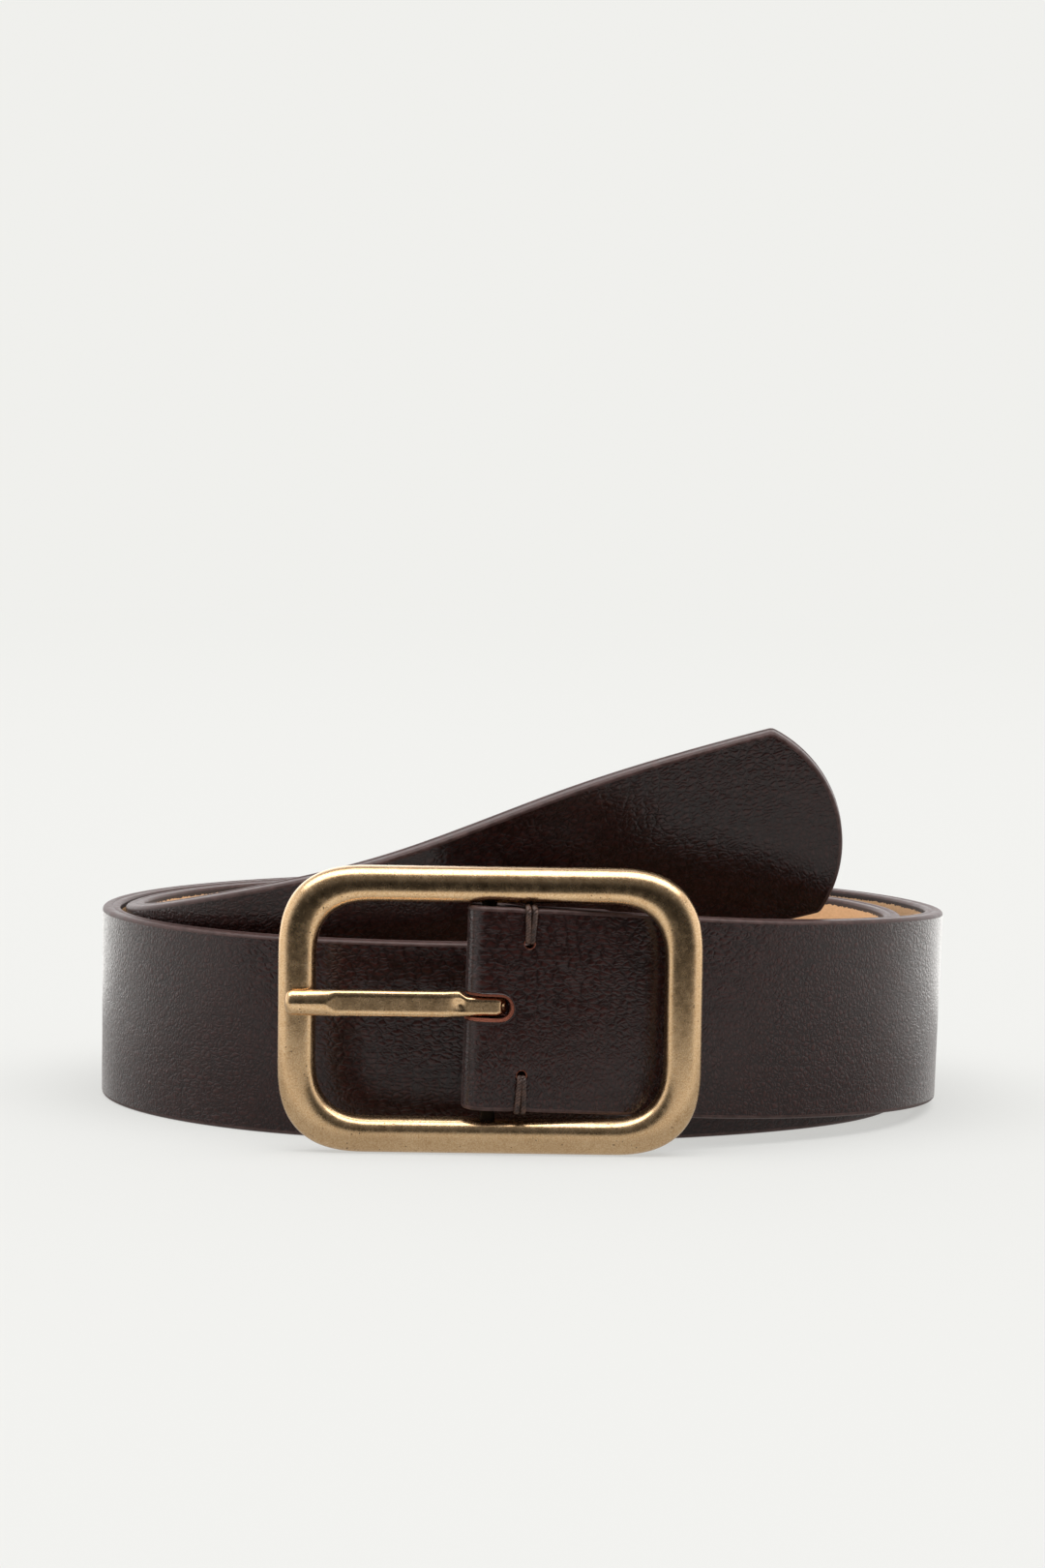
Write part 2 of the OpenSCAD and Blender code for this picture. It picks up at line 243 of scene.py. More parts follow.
def strap_outline():
    """The cut edge of the strap, anticlockwise, with the rounded tip and a softly cornered turned end."""
    inner_r = TIP_R - TIP_CORNER_R
    arc_end = math.degrees(math.asin((HALF - TIP_CORNER_R) / inner_r))
    cx = S_END - TIP_R
    corner_x = cx + inner_r * math.cos(math.radians(arc_end))
    pieces = [
        arc(corner_x, -HALF + TIP_CORNER_R, TIP_CORNER_R, -90, -arc_end, CORNER_ARC),
        arc(cx, 0, TIP_R, -arc_end, arc_end, TIP_ARC)[1:-1],
        arc(corner_x, HALF - TIP_CORNER_R, TIP_CORNER_R, arc_end, 90, CORNER_ARC),
        arc(S_START + END_R, HALF - END_R, END_R, 90, 180, CORNER_ARC),
        arc(S_START + END_R, -HALF + END_R, END_R, 180, 270, CORNER_ARC),
    ]
    return close_up(np.vstack(pieces), spacing)


def slot_outline():
    """The prong's slot: it runs from the front ply round the fold into the turned end."""
    r = SLOT_H / 2
    front, back = SLOT_REACH - r, flat_s(SLOT_BACK_REACH) + r
    ends = [arc(front, SLOT_MID, r, -90, 90, SLOT_ARC), arc(back, SLOT_MID, r, 90, 270, SLOT_ARC)]
    return close_up(np.vstack(ends), lambda s: SLOT_STEP)


def round_hole(s, h, d):
    return arc(s, h, d / 2, 0, 360, HOLE_ARC)[:-1]


# The stitches: distance of each from the bar, its height, and its side of the strap
STITCH_HOLE_D = 1.9
STITCHES = {"stitch_top": (6.8, HALF - 6.9, 1), "stitch_bottom": (6.6, -(HALF - 7.2), -1)}

# The round-over at each kind of hole
RIMS = {"slot": 0.55, "stitch": 0.18, "punched": 0.35}
HOLES, RIM_OF = [slot_outline()], [RIMS["slot"]]
for reach, height, _ in STITCHES.values():
    HOLES.append(round_hole(reach, height, STITCH_HOLE_D))
    HOLES.append(round_hole(flat_s(reach), height, STITCH_HOLE_D))
    RIM_OF += [RIMS["stitch"]] * 2
for k in range(HOLE_COUNT):
    HOLES.append(round_hole(S_END - FIRST_HOLE - k * HOLE_PITCH, 0, HOLE_D))
    RIM_OF.append(RIMS["punched"])


# Soft waves of the leather: their length along and across, where in the noise they start, their height
WAVE_ALONG, WAVE_ACROSS, WAVE_START, WAVE_HIGH = 16.0, 11.0, 3.1, 0.10
# A stitch's pull on the leather: its depth and half width, the same at the cut edge, how wide that edge is,
# and where the pull starts and is full, from the hole's middle
PULL_DEEP, PULL_HALF, GIVE_DEEP, GIVE_HALF = 0.28, 1.5, 0.45, 1.3
EDGE_BAND, PULL_BELOW, PULL_ABOVE = 2.2, 1.4, 0.2


def relief(s, h):
    """How far the grain side swells or sinks: soft waves, and the pull of each stitch on the leather."""
    waves = [noise.noise(Vector((a / WAVE_ALONG, b / WAVE_ACROSS, WAVE_START))) for a, b in zip(s, h)]
    made = np.array(waves) * WAVE_HIGH
    for reach, height, side in STITCHES.values():
        for centre in (reach, flat_s(reach)):
            past_hole = smooth(h * side, abs(height) - PULL_BELOW, abs(height) + PULL_ABOVE)
            made -= PULL_DEEP * np.exp(-(((s - centre) / PULL_HALF) ** 2)) * past_hole
    return made


def pull_in(s, h):
    """The cut edge gives a little under each stitch's thread."""
    depth = np.zeros_like(s)
    for reach, _, side in STITCHES.values():
        for centre in (reach, flat_s(reach)):
            near_edge = h * side > HALF - EDGE_BAND
            depth += GIVE_DEEP * np.exp(-(((s - centre) / GIVE_HALF) ** 2)) * near_edge
    return h - np.sign(h) * depth


# ---- a ply: two faces cut to the outline, joined round its edge and round each hole --------------


def inside_flat(p, holes, edge):
    """Whether points of the flat strap lie within the outline, less edge, and outside every hole."""
    keep = (np.abs(p[:, 1]) < HALF - edge) & (p[:, 0] > S_START + edge)
    keep &= np.hypot(np.maximum(p[:, 0] - (S_END - TIP_R), 0), p[:, 1]) < TIP_R - edge
    for loop in holes:
        low, high = loop.min(0), loop.max(0)
        r = (high[1] - low[1]) / 2
        beyond = np.maximum(np.maximum(low[0] + r - p[:, 0], p[:, 0] - (high[0] - r)), 0)
        keep &= np.hypot(beyond, p[:, 1] - (low[1] + high[1]) / 2) > r
    return keep


def grid_points():
    """A net of points over the flat strap, close together where the strap bends most."""
    made = []
    s = S_START
    while s < S_END:
        step = spacing(s)
        across = np.linspace(-HALF, HALF, int(STRAP_W / max(step, ACROSS_STEP)) + 1)
        made.append(np.stack([np.full_like(across, s), across], -1))
        s += step
    return np.vstack(made)


ACROSS_STEP = 1.0  # the least distance between net points across the strap
WIDEST = 12.0  # triangles with a longer side than this lie outside the outline
GUARD = 0.3  # how far the second row of points is from each loop
ROOM = 0.55  # the least distance from a net point to a loop, as a share of the spacing there
SLACK = 0.98  # how far inside the edge a triangle's middle stays, as a share of edge


def face_sheet(outline, holes, edge):
    """Points and triangles that fill the outline between the holes. The loops' points come first.

    A second row of points close to each loop keeps the shading of the rounded edge off the flat face.
    """
    loops = [outline, *holes]
    border = np.vstack(loops)
    tree = KDTree(len(border))
    for i, p in enumerate(border):
        tree.insert((p[0], p[1], 0), i)
    tree.balance()
    grid = grid_points()
    grid = grid[inside_flat(grid, holes, edge)]
    near = np.array([tree.find((p[0], p[1], 0))[2] for p in grid])
    room = np.array([ROOM * spacing(p[0]) + GUARD for p in grid])
    guards = [outline + left_normals(outline) * GUARD] + [h - left_normals(h) * GUARD for h in holes]
    points = np.vstack([border, *guards, grid[near > room]])
    edges, start = [], 0
    for loop in loops:
        n = len(loop)
        edges += [(start + i, start + (i + 1) % n) for i in range(n)]
        start += n
    got = delaunay_2d_cdt([Vector(p) for p in points], edges, [], 1, 1e-7, True)
    back = [ids[0] for ids in got[3]]
    triangles = np.array([[back[i] for i in f] for f in got[2]])
    middle = points[triangles].mean(1)
    triangles = triangles[inside_flat(middle, holes, edge * SLACK)]
    a, b, c = (points[triangles[:, k]] for k in range(3))
    twice_area = (b - a)[:, 0] * (c - a)[:, 1] - (b - a)[:, 1] * (c - a)[:, 0]
    triangles[twice_area < 0] = triangles[twice_area < 0][:, ::-1]
    reach = np.linalg.norm(points[triangles] - points[np.roll(triangles, 1, axis=1)], axis=2).max(1)
    return points, triangles[reach < WIDEST]


FACE, PAINT, RAW = 0, 1, 2
EDGE_STEPS, RIM_STEPS, RIM_DROP = 5, 4, 0.8


def ply(name, face_d, bevel, rim_share, materials):
    """One ply of the strap as a closed shell, from the join of the plies to its face at face_d.

    bevel is the size of the rounded edge, and rim_share scales the round-over at each hole.
    """
    side = math.copysign(1, face_d)
    outline = strap_outline()
    inward = left_normals(outline)
    hole_out = [-left_normals(h) for h in HOLES]
    top_outline = outline + inward * bevel
    top_holes = [h + n * r * rim_share for h, n, r in zip(HOLES, hole_out, RIM_OF)]
    face, face_tris = face_sheet(top_outline, top_holes, bevel)
    join, join_tris = face_sheet(outline, HOLES, 0.0)
    points, faces, kinds = [], [], []

    def add(flat_2d, d):
        start = sum(len(p) for p in points)
        d = np.broadcast_to(np.asarray(d, float), (len(flat_2d),))
        points.append(np.column_stack([flat_2d[:, 0], pull_in(flat_2d[:, 0], flat_2d[:, 1]), d]))
        return start

    def stitch(a, b, n, kind, flip):
        for i in range(n):
            j = (i + 1) % n
            quad = (a + i, a + j, b + j, b + i)
            faces.append(quad[::-1] if flip else quad)
            kinds.append(kind)

    def depth(flat_2d, d, swell=1.0):
        return d + side * relief(flat_2d[:, 0], flat_2d[:, 1]) * swell

    face_start = add(face, depth(face, face_d))
    join_start = add(join, 0.0)
    for t in face_tris:
        faces.append([face_start + i for i in (t if side > 0 else t[::-1])])
        kinds.append(FACE)
    for t in join_tris:
        faces.append([join_start + i for i in (t[::-1] if side > 0 else t)])
        kinds.append(RAW)

    def edge_rings(loop, normal, size, drop, start_face, start_join, kind, flip, steps):
        """Rings of a quarter round from the face's loop down to the join's loop."""
        n = len(loop)
        above = start_face
        for a in np.linspace(0, 90, steps + 1)[1:]:
            inset = size * (1 - math.sin(math.radians(a)))
            down = drop * (1 - math.cos(math.radians(a)))
            fade = 1 - a / 90
            here = loop + normal * inset
            below = add(here, depth(here, face_d - side * down, fade))
            stitch(above, below, n, kind, flip)
            above = below
        stitch(above, start_join, n, kind, flip)

    edge_rings(outline, inward, bevel, bevel, face_start, join_start, PAINT, side > 0, EDGE_STEPS)
    fs, js = face_start + len(outline), join_start + len(outline)
    for loop, n_out, r in zip(HOLES, hole_out, RIM_OF):
        rim = r * rim_share
        edge_rings(loop, n_out, rim, rim * RIM_DROP, fs, js, RAW, side > 0, RIM_STEPS)
        fs += len(loop)
        js += len(loop)
    flat = np.vstack(points)
    return make_mesh(name, bend(flat), faces, materials, kinds, flat)


# ---- materials ---------------------------------------------------------------------------------


class Finish:
    """A new material, built from nodes one at a time."""

    def __init__(self, name):
        self.material = bpy.data.materials.new(name)
        self.material.use_nodes = True
        self.nodes = self.material.node_tree.nodes
        self.nodes.clear()
        self.shader = self.node("ShaderNodeBsdfPrincipled")
        self.join(self.shader.outputs["BSDF"], self.node("ShaderNodeOutputMaterial").inputs["Surface"])

    def join(self, a, b):
        self.material.node_tree.links.new(a, b)

    def node(self, kind, settings=None, **inputs):
        made = self.nodes.new(kind)
        for key, value in (settings or {}).items():
            setattr(made, key, value)
        for key, value in inputs.items():
            self.give(made, key.replace("_", " "), value)
        return made

    def give(self, made, key, value):
        socket = made.inputs[int(key[1:])] if key[0] == "#" else made.inputs[key]
        if isinstance(value, bpy.types.NodeSocket):
            self.join(value, socket)
        else:
            socket.default_value = value

    def set(self, **inputs):
        for key, value in inputs.items():
            self.give(self.shader, key.replace("_", " "), value)
        return self

    def place(self, attribute=None):
        """The flat strap's own coordinates, or the object's."""
        if attribute:
            return self.node("ShaderNodeAttribute", {"attribute_name": attribute}).outputs["Vector"]
        return self.node("ShaderNodeTexCoord").outputs["Object"]

    def scaled(self, vector, x, y, z):
        node = self.node("ShaderNodeMapping", Scale=(x, y, z))
        self.join(vector, node.inputs["Vector"])
        return node.outputs["Vector"]

    def noise(self, vector, scale, detail=3.0, roughness=0.5):
        return self.node("ShaderNodeTexNoise", Vector=vector, Scale=scale, Detail=detail,
                         Roughness=roughness).outputs["Fac"]

    def ramp(self, fac, *stops):
        """A colour ramp from (position, colour) pairs; a plain number stands for a grey."""
        node = self.node("ShaderNodeValToRGB", Fac=fac)
        bar = node.color_ramp.elements
        while len(bar) < len(stops):
            bar.new(0.5)
        for element, (position, colour) in zip(bar, stops):
            element.position = position
            element.color = (colour,) * 3 + (1,) if isinstance(colour, (int, float)) else (*colour, 1)
        return node.outputs["Color"]

    def math(self, operation, a, b=0.0):
        node = self.node("ShaderNodeMath", {"operation": operation})
        self.give(node, "#0", a)
        self.give(node, "#1", b)
        return node.outputs["Value"]

    def mix(self, fac, a, b):
        node = self.node("ShaderNodeMix", {"data_type": "RGBA"})
        self.give(node, "#0", fac)
        self.give(node, "#6", a)
        self.give(node, "#7", b)
        return node.outputs[2]

    def bump(self, height, strength, distance, under=None):
        node = self.node("ShaderNodeBump", Height=height, Strength=strength, Distance=distance)
        if under is not None:
            self.join(under, node.inputs["Normal"])
        return node.outputs["Normal"]


def rgba(r, g, b):
    return (r, g, b, 1.0)


def grain(f, place, scale, along):
    """A net of wavy wrinkles, the ridges between them high; along stretches it along the strap."""
    cells = f.node("ShaderNodeTexVoronoi", {"feature": "DISTANCE_TO_EDGE"}, Scale=scale,
                   Vector=f.scaled(place, along, 1.0, 1.0))
    return f.ramp(cells.outputs["Distance"], (0.0, 0.0), (0.18, 0.55), (0.42, 1.0))


def warped(f, place, scale, size):
    """The same coordinates, pushed about by a soft noise."""
    wander = f.node("ShaderNodeTexNoise", Vector=place, Scale=scale, Detail=2.0)
    shift = f.node("ShaderNodeVectorMath", {"operation": "SCALE"}, Scale=size)
    f.join(wander.outputs["Color"], shift.inputs[0])
    moved = f.node("ShaderNodeVectorMath", {"operation": "ADD"})
    f.join(place, moved.inputs[0])
    f.join(shift.outputs["Vector"], moved.inputs[1])
    return moved.outputs["Vector"]


# The nick on the right of the front: where it is on the flat strap, and half its length and height
NICK_AT, NICK_SIZE = (157.2, -13.8), (0.85, 1.5)


def dark_leather():
    """Espresso full-grain leather: fine wavy wrinkles, along the strap in some places, across in others."""
    f = Finish("espresso_leather")
    place = f.place("flat_place")
    moved = warped(f, place, 480.0, 0.0016)
    lengthwise, crosswise = grain(f, moved, 1100.0, 0.5), grain(f, moved, 920.0, 1.3)
    where = f.ramp(f.noise(f.scaled(place, 1.0, 0.6, 1.0), 22.0, 2.0), (0.40, 0.0), (0.60, 1.0))
    wrinkles = f.mix(where, lengthwise, crosswise)
    swell = f.noise(f.scaled(moved, 0.4, 1.0, 1.0), 520.0, 2.0)
    nick = nick_mark(f, place)
    height = f.math("ADD", wrinkles, f.math("MULTIPLY", swell, 0.7))
    height = f.math("SUBTRACT", height, f.math("MULTIPLY", nick, 1.6))
    broad = f.noise(place, 38.0, 3.0)
    # Darker in the wrinkles' grooves, lighter on their ridges: grain tone plus painted shade and highlight
    colour = f.ramp(f.math("MULTIPLY", height, 0.6), (0.22, (0.0060, 0.0015, 0.0011)),
                    (0.8, (0.038, 0.0098, 0.0078)))
    tint = f.ramp(broad, (0.35, (0.018, 0.0036, 0.0026)), (0.7, (0.028, 0.0066, 0.0050)))
    rough = f.ramp(f.noise(place, 900.0, 2.0), (0.3, 0.28), (0.7, 0.38))
    soft = f.bump(broad, 0.25, 0.0006)
    f.set(Base_Color=f.mix(0.2, colour, tint), Roughness=rough, Specular_IOR_Level=0.08,
          Normal=f.bump(height, 1.0, 0.00026, soft), Sheen_Weight=0.10, Sheen_Roughness=0.35,
          Sheen_Tint=rgba(1.0, 0.84, 0.82), Coat_Weight=f.math("SUBTRACT", 1.0, nick), Coat_IOR=1.37,
          Coat_Roughness=0.18, Coat_Normal=f.bump(height, 0.4, 0.00009, soft))
    return f.material


def nick_mark(f, place):
    """1 in the small nick on the right of the front, and 0 elsewhere."""
    split = f.node("ShaderNodeSeparateXYZ", Vector=place)
    squares = []
    for axis, at, size in zip("XY", NICK_AT, NICK_SIZE):
        away = f.math("DIVIDE", f.math("SUBTRACT", split.outputs[axis], at * MM), size * MM)
        squares.append(f.math("MULTIPLY", away, away))
    return f.ramp(f.math("ADD", *squares), (0.2, 1.0), (1.0, 0.0))


def edge_paint():
    """Dark edge paint, smooth but for the fibres under it."""
    f = Finish("edge_paint")
    place = f.place("flat_place")
    fibres = f.noise(f.scaled(place, 0.25, 1.0, 1.0), 2600.0, 3.0, 0.6)
    blots = f.noise(place, 700.0, 2.0)
    colour = f.ramp(blots, (0.35, (0.040, 0.019, 0.016)), (0.7, (0.078, 0.042, 0.038)))
    f.set(Base_Color=colour, Roughness=f.ramp(blots, (0.3, 0.38), (0.7, 0.52)),
          Specular_IOR_Level=0.30, Normal=f.bump(fibres, 0.4, 0.00004))
    return f.material


def raw_cut(name, dark, light):
    """Cut leather: fibrous, matt and rough."""
    f = Finish(name)
    place = f.place("flat_place")
    fibres = f.noise(place, 2400.0, 4.0, 0.7)
    f.set(Base_Color=f.ramp(fibres, (0.3, dark), (0.7, light)), Roughness=0.85,
          Normal=f.bump(fibres, 0.8, 0.0002))
    return f.material


def tan_lining():
    """Natural tan leather, with dark paint that has crept over from the edges."""
    f = Finish("tan_lining_leather")
    place = f.place("flat_place")
    split = f.node("ShaderNodeSeparateXYZ", Vector=place)
    from_edge = f.math("SUBTRACT", HALF * MM, f.math("ABSOLUTE", split.outputs["Y"]))
    ragged = f.math("MULTIPLY", f.noise(place, 1300.0, 3.0), 0.0011)
    painted = f.math("LESS_THAN", from_edge, f.math("ADD", ragged, 0.0008))
    grain = f.noise(f.scaled(place, 0.6, 1.0, 1.0), 1700.0, 4.0, 0.6)
    cloudy = f.noise(place, 60.0, 3.0)
    tan = f.ramp(grain, (0.25, (0.56, 0.31, 0.145)), (0.75, (0.75, 0.47, 0.25)))
    tone = f.mix(0.35, tan, f.ramp(cloudy, (0.3, (0.58, 0.33, 0.165)), (0.7, (0.77, 0.49, 0.27))))
    f.set(Base_Color=f.mix(painted, tone, rgba(0.030, 0.018, 0.015)), Roughness=0.62,
          Normal=f.bump(grain, 0.35, 0.0001))
    return f.material


def antique_brass():
    """Satin brass with a brown patina in the hollows, worn bright, and fine pits all over."""
    f = Finish("antique_brass_metal")
    place = f.place()
    speckle = f.noise(place, 3400.0, 2.0, 0.6)
    mottle = f.noise(place, 700.0, 4.0, 0.6)
    cloud = f.noise(place, 110.0, 3.0)
    pits = f.node("ShaderNodeTexVoronoi", {"feature": "F1"}, Vector=place, Scale=1300.0)
    pit = f.ramp(pits.outputs["Distance"], (0.10, 1.0), (0.24, 0.0))
    rare = f.ramp(f.noise(place, 420.0, 1.0), (0.57, 0.0), (0.63, 1.0))
    pit = f.math("MULTIPLY", pit, rare)
    base = f.ramp(mottle, (0.3, (0.56, 0.345, 0.165)), (0.7, (0.72, 0.475, 0.255)))
    worn = f.mix(f.ramp(speckle, (0.38, 0.0), (0.62, 0.6)), base, rgba(0.93, 0.68, 0.43))
    aged = f.mix(f.ramp(cloud, (0.35, 0.0), (0.75, 0.30)), worn, rgba(0.48, 0.29, 0.14))
    colour = f.mix(pit, aged, rgba(0.09, 0.055, 0.03))
    rough = f.math("ADD", f.math("MULTIPLY", mottle, 0.18), 0.17)
    height = f.math("SUBTRACT", f.math("ADD", f.math("MULTIPLY", speckle, 0.7), mottle), pit)
    f.set(Base_Color=colour, Metallic=1.0, Roughness=rough, Normal=f.bump(height, 0.16, 0.00005))
    return f.material


def shade_painted_brass():
    """The centre bar's brass, near black: painted shade for the deep shade it sits in inside the fold."""
    f = Finish("shade_painted_brass_metal")
    mottle = f.noise(f.place(), 520.0, 3.0)
    colour = f.ramp(mottle, (0.3, (0.006, 0.004, 0.003)), (0.75, (0.018, 0.012, 0.007)))
    f.set(Base_Color=colour, Metallic=1.0, Roughness=0.5)
    return f.material


def waxed_thread():
    """Dark brown waxed thread with a little red in it."""
    f = Finish("waxed_thread_fibre")
    place = f.place()
    fibres = f.noise(place, 5200.0, 3.0, 0.6)
    tone = f.noise(place, 800.0, 2.0)
    colour = f.ramp(tone, (0.35, (0.021, 0.009, 0.006)), (0.7, (0.092, 0.044, 0.029)))
    f.set(Base_Color=colour, Roughness=0.42, Normal=f.bump(fibres, 0.6, 0.00008))
    return f.material


LEATHER, PAINTED = dark_leather(), edge_paint()
SLOT_RIM = raw_cut("raw_russet_leather", (0.105, 0.023, 0.010), (0.27, 0.072, 0.034))
LINING = tan_lining()
BRASS = antique_brass()
# The centre bar's near-black brass is painted shade for the fold's deep shade
SHADE_PAINTED_BRASS = shade_painted_brass()
THREAD = waxed_thread()

# ---- the strap ---------------------------------------------------------------------------------

outer = ply("strap_grain_ply", OUTER_T, bevel=0.8, rim_share=1.0, materials=[LEATHER, PAINTED, SLOT_RIM])
link(outer, "strap", "dark_leather", "strap_outer")
lining = ply("strap_lining_ply", -LINING_T, bevel=0.6, rim_share=0.4, materials=[LINING, PAINTED, SLOT_RIM])
link(lining, "strap", "tan_leather", "strap_lining")

# ---- the buckle --------------------------------------------------------------------------------

# The rails' widths, and how far the crest of their dome leans inwards
SIDE_RAIL_W, LEVEL_RAIL_W, CREST_SHIFT = 7.4, 7.0, 0.08
RIGHT_REACH = 0.65  # how much further out the right rail reaches than in the CAD

bar_low, bar_high = (np.array(v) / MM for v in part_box("centre_bar"))
BAR = (bar_low + bar_high) / 2
frame_low, frame_high = (np.array(v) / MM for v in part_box("buckle_frame"))
prong_low, prong_high = (np.array(v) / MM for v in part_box("prong"))
PRONG_Z = (prong_low[2] + prong_high[2]) / 2
frame_high[0] += RIGHT_REACH
FRAME_MID = (frame_low + frame_high) / 2
FRAME_W, RAIL_D, FRAME_H = frame_high - frame_low
OUTER_CORNER, OUTER_POWER, INNER_CORNER, INNER_POWER = 18.0, 2.65, 12.0, 2.7
CORNER_STEPS, SIDE_STEPS, PROFILE_STEPS = 28, 22, 26
# The rail's section: the rounding at its back, where that has its middle point, how high its sides are
# before the dome begins, and the dome's two powers
BACK_ROUND, ROUND_MID, SHOULDER, ACROSS_POWER, DOME_POWER = 0.35, 0.3, 1.5, 0.82, 0.86


def ring_of_rail(half_w, half_h, corner, power):
    """A rounded rectangle, anticlockwise, whose corners are quarter superellipses."""
    made = []
    quarter = np.linspace(0, math.pi / 2, CORNER_STEPS + 1)
    x = half_w - corner + corner * np.cos(quarter) ** (2 / power)
    y = half_h - corner + corner * np.sin(quarter) ** (2 / power)
    right, left = np.stack([x, y], -1), np.stack([-x, y], -1)
    corners = [right, left[::-1], -right, -left[::-1]]
    for k, points in enumerate(corners):
        made += list(points)
        after = corners[(k + 1) % len(corners)][0]
        side = np.linspace(0, 1, SIDE_STEPS + 1)[1:-1]
        made += [points[-1] + (after - points[-1]) * t for t in side]
    return np.array(made)


def rail_profile():
    """The rail's section: across from the inner side, -1, to the outer side, 1, and depth from its back."""
    a = np.linspace(math.pi, 0, PROFILE_STEPS + 1)
    across = np.sign(np.cos(a)) * np.abs(np.cos(a)) ** ACROSS_POWER
    depth = SHOULDER + (RAIL_D - SHOULDER) * np.abs(np.sin(a)) ** DOME_POWER
    dome = list(zip(across - CREST_SHIFT * (1 - across**2), depth))
    rounded = BACK_ROUND * 2 / SIDE_RAIL_W
    right = [(1, BACK_ROUND), (1 - rounded * ROUND_MID, BACK_ROUND * ROUND_MID), (1 - rounded, 0)]
    left = [(-x, y) for x, y in right[::-1]]
    return dome + right + left


def buckle_frame():
    """The frame: the rail's section taken round between an outer and an inner ring."""
    half_w, half_h = FRAME_W / 2, FRAME_H / 2
    outer_ring = ring_of_rail(half_w, half_h, OUTER_CORNER, OUTER_POWER)
    inner_ring = ring_of_rail(half_w - SIDE_RAIL_W, half_h - LEVEL_RAIL_W, INNER_CORNER, INNER_POWER)
    profile = rail_profile()
    points = []
    for o, i in zip(outer_ring, inner_ring):
        for across, depth in profile:
            p = i + (o - i) * (across + 1) / 2
            points.append((FRAME_MID[0] + p[0], frame_high[1] - depth, FRAME_MID[2] + p[1]))
    n, m = len(outer_ring), len(profile)
    faces = [(a * m + b, a * m + (b + 1) % m, (a + 1) % n * m + (b + 1) % m, (a + 1) % n * m + b)
             for a in range(n) for b in range(m)]
    return make_mesh("buckle_frame_rails", points, faces, [BRASS])


link(buckle_frame(), "buckle", "antique_brass", "buckle_frame")
# The centre bar gets near-black brass: painted shade for the deep shade it sits in inside the fold
bar_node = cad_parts["centre_bar"]
bar_node.data.materials.clear()
bar_node.data.materials.append(SHADE_PAINTED_BRASS)

# ---- the prong ---------------------------------------------------------------------------------


# The eye in plan: how far it goes beyond the bar's middle to the right, the front and the back
EYE_REACH, EYE_FRONT, EYE_BACK = 3.6, 3.5, 3.2
EYE_HALF, EYE_END_HALF, EYE_THICK, EYE_SQUARE = 1.82, 1.52, 1.6, 0.6
EYE_START, EYE_STOP, EYE_STEPS = -90, 205, 110
# The bar of the prong: where its front is, half its height, its thickness, and how much further it is lifted
BODY_FRONT, BODY_HALF, SWELL, TIP_SHRINK, BODY_LIFT = 4.6, 2.52, 0.05, 0.12, 0.5
NECK_THICK, BODY_THICK, BODY_DOME, BODY_STEPS = 1.9, 2.5, 0.22, 120
# Stretches of the prong, by distance from the bar: where its front comes forward, it leaves the slot, it
# thickens, it steps up on to the rail, its front rounds over, it swells, and it shrinks to the tip
COMES_OUT, LEAVES_SLOT, THICKENS, RISES = (4.8, 9.0), (3.7, 6.0), (1.0, 5.0), (28.2, 32.4)
ROUNDS, SWELLS, SHRINKS = (29.5, 32.0), (29, 31), (32, 37)
NARROWS, SLOPE_STEP = (-85, -40), 0.1  # where round the bar the eye narrows, in degrees
TIP_ROUND, CORNER_H, CORNER_D, BACK_CORNER = 1.5, 0.75, 0.6, 0.4
# Shares: of its thickness left at the very tip, of what is gone that goes at the front, and its largest
# corners at the front, at the back and in height
TIP_LEFT, TIP_FRONT, FRONT_MOST, BACK_MOST, HEIGHT_MOST = 0.25, 0.62, 0.66, 0.3, 0.999
# Two dents: the crimp where the eye begins, and the gap beside the eye's curled end
CRIMP_BACK, CRIMP_LEN, CRIMP_DEEP = 5.7, 0.75, 0.40
CURL_ANGLE, CURL_SPAN, CURL_DEEP = -40.0, 11.0, 0.6
DENT_HALF = 1.15
SECTION_STEPS, FRONT_STEPS = 7, 10


def prong_section(half_h, thick, round_h, round_d, back_r):
    """The prong's section as (height, depth from its front).

    Its front corners are round_h high and round_d deep, and its back corners have the radius back_r.
    """
    front_mid, back_mid, back_d = half_h - round_h, half_h - back_r, thick - back_r
    corners = [(front_mid, round_d, round_h, round_d, 0), (back_mid, back_d, back_r, back_r, 90),
               (-back_mid, back_d, back_r, back_r, 180), (-front_mid, round_d, round_h, round_d, 270)]
    made = []
    for middle_h, middle_d, r_h, r_d, start in corners:
        for a in np.radians(np.linspace(start, start + 90, SECTION_STEPS)):
            made.append((middle_h + r_h * math.sin(a), middle_d - r_d * math.cos(a)))
    front = np.linspace(-front_mid, front_mid, FRONT_STEPS + 1)[1:-1]
    return made + [(h, 0.0) for h in front]


def front_at(back):
    """How far in front of the bar's middle the prong's front is, at a distance back along it."""
    tip_front = BAR[1] - prong_low[1]
    return (EYE_FRONT + (BODY_FRONT - EYE_FRONT) * smooth(back, *COMES_OUT)
            + (tip_front - BODY_FRONT) * smooth(back, *RISES))


def bell(x, middle, half_width):
    return math.exp(-(((x - middle) / half_width) ** 2))


def signed_power(x, power):
    return math.copysign(abs(x) ** power, x)


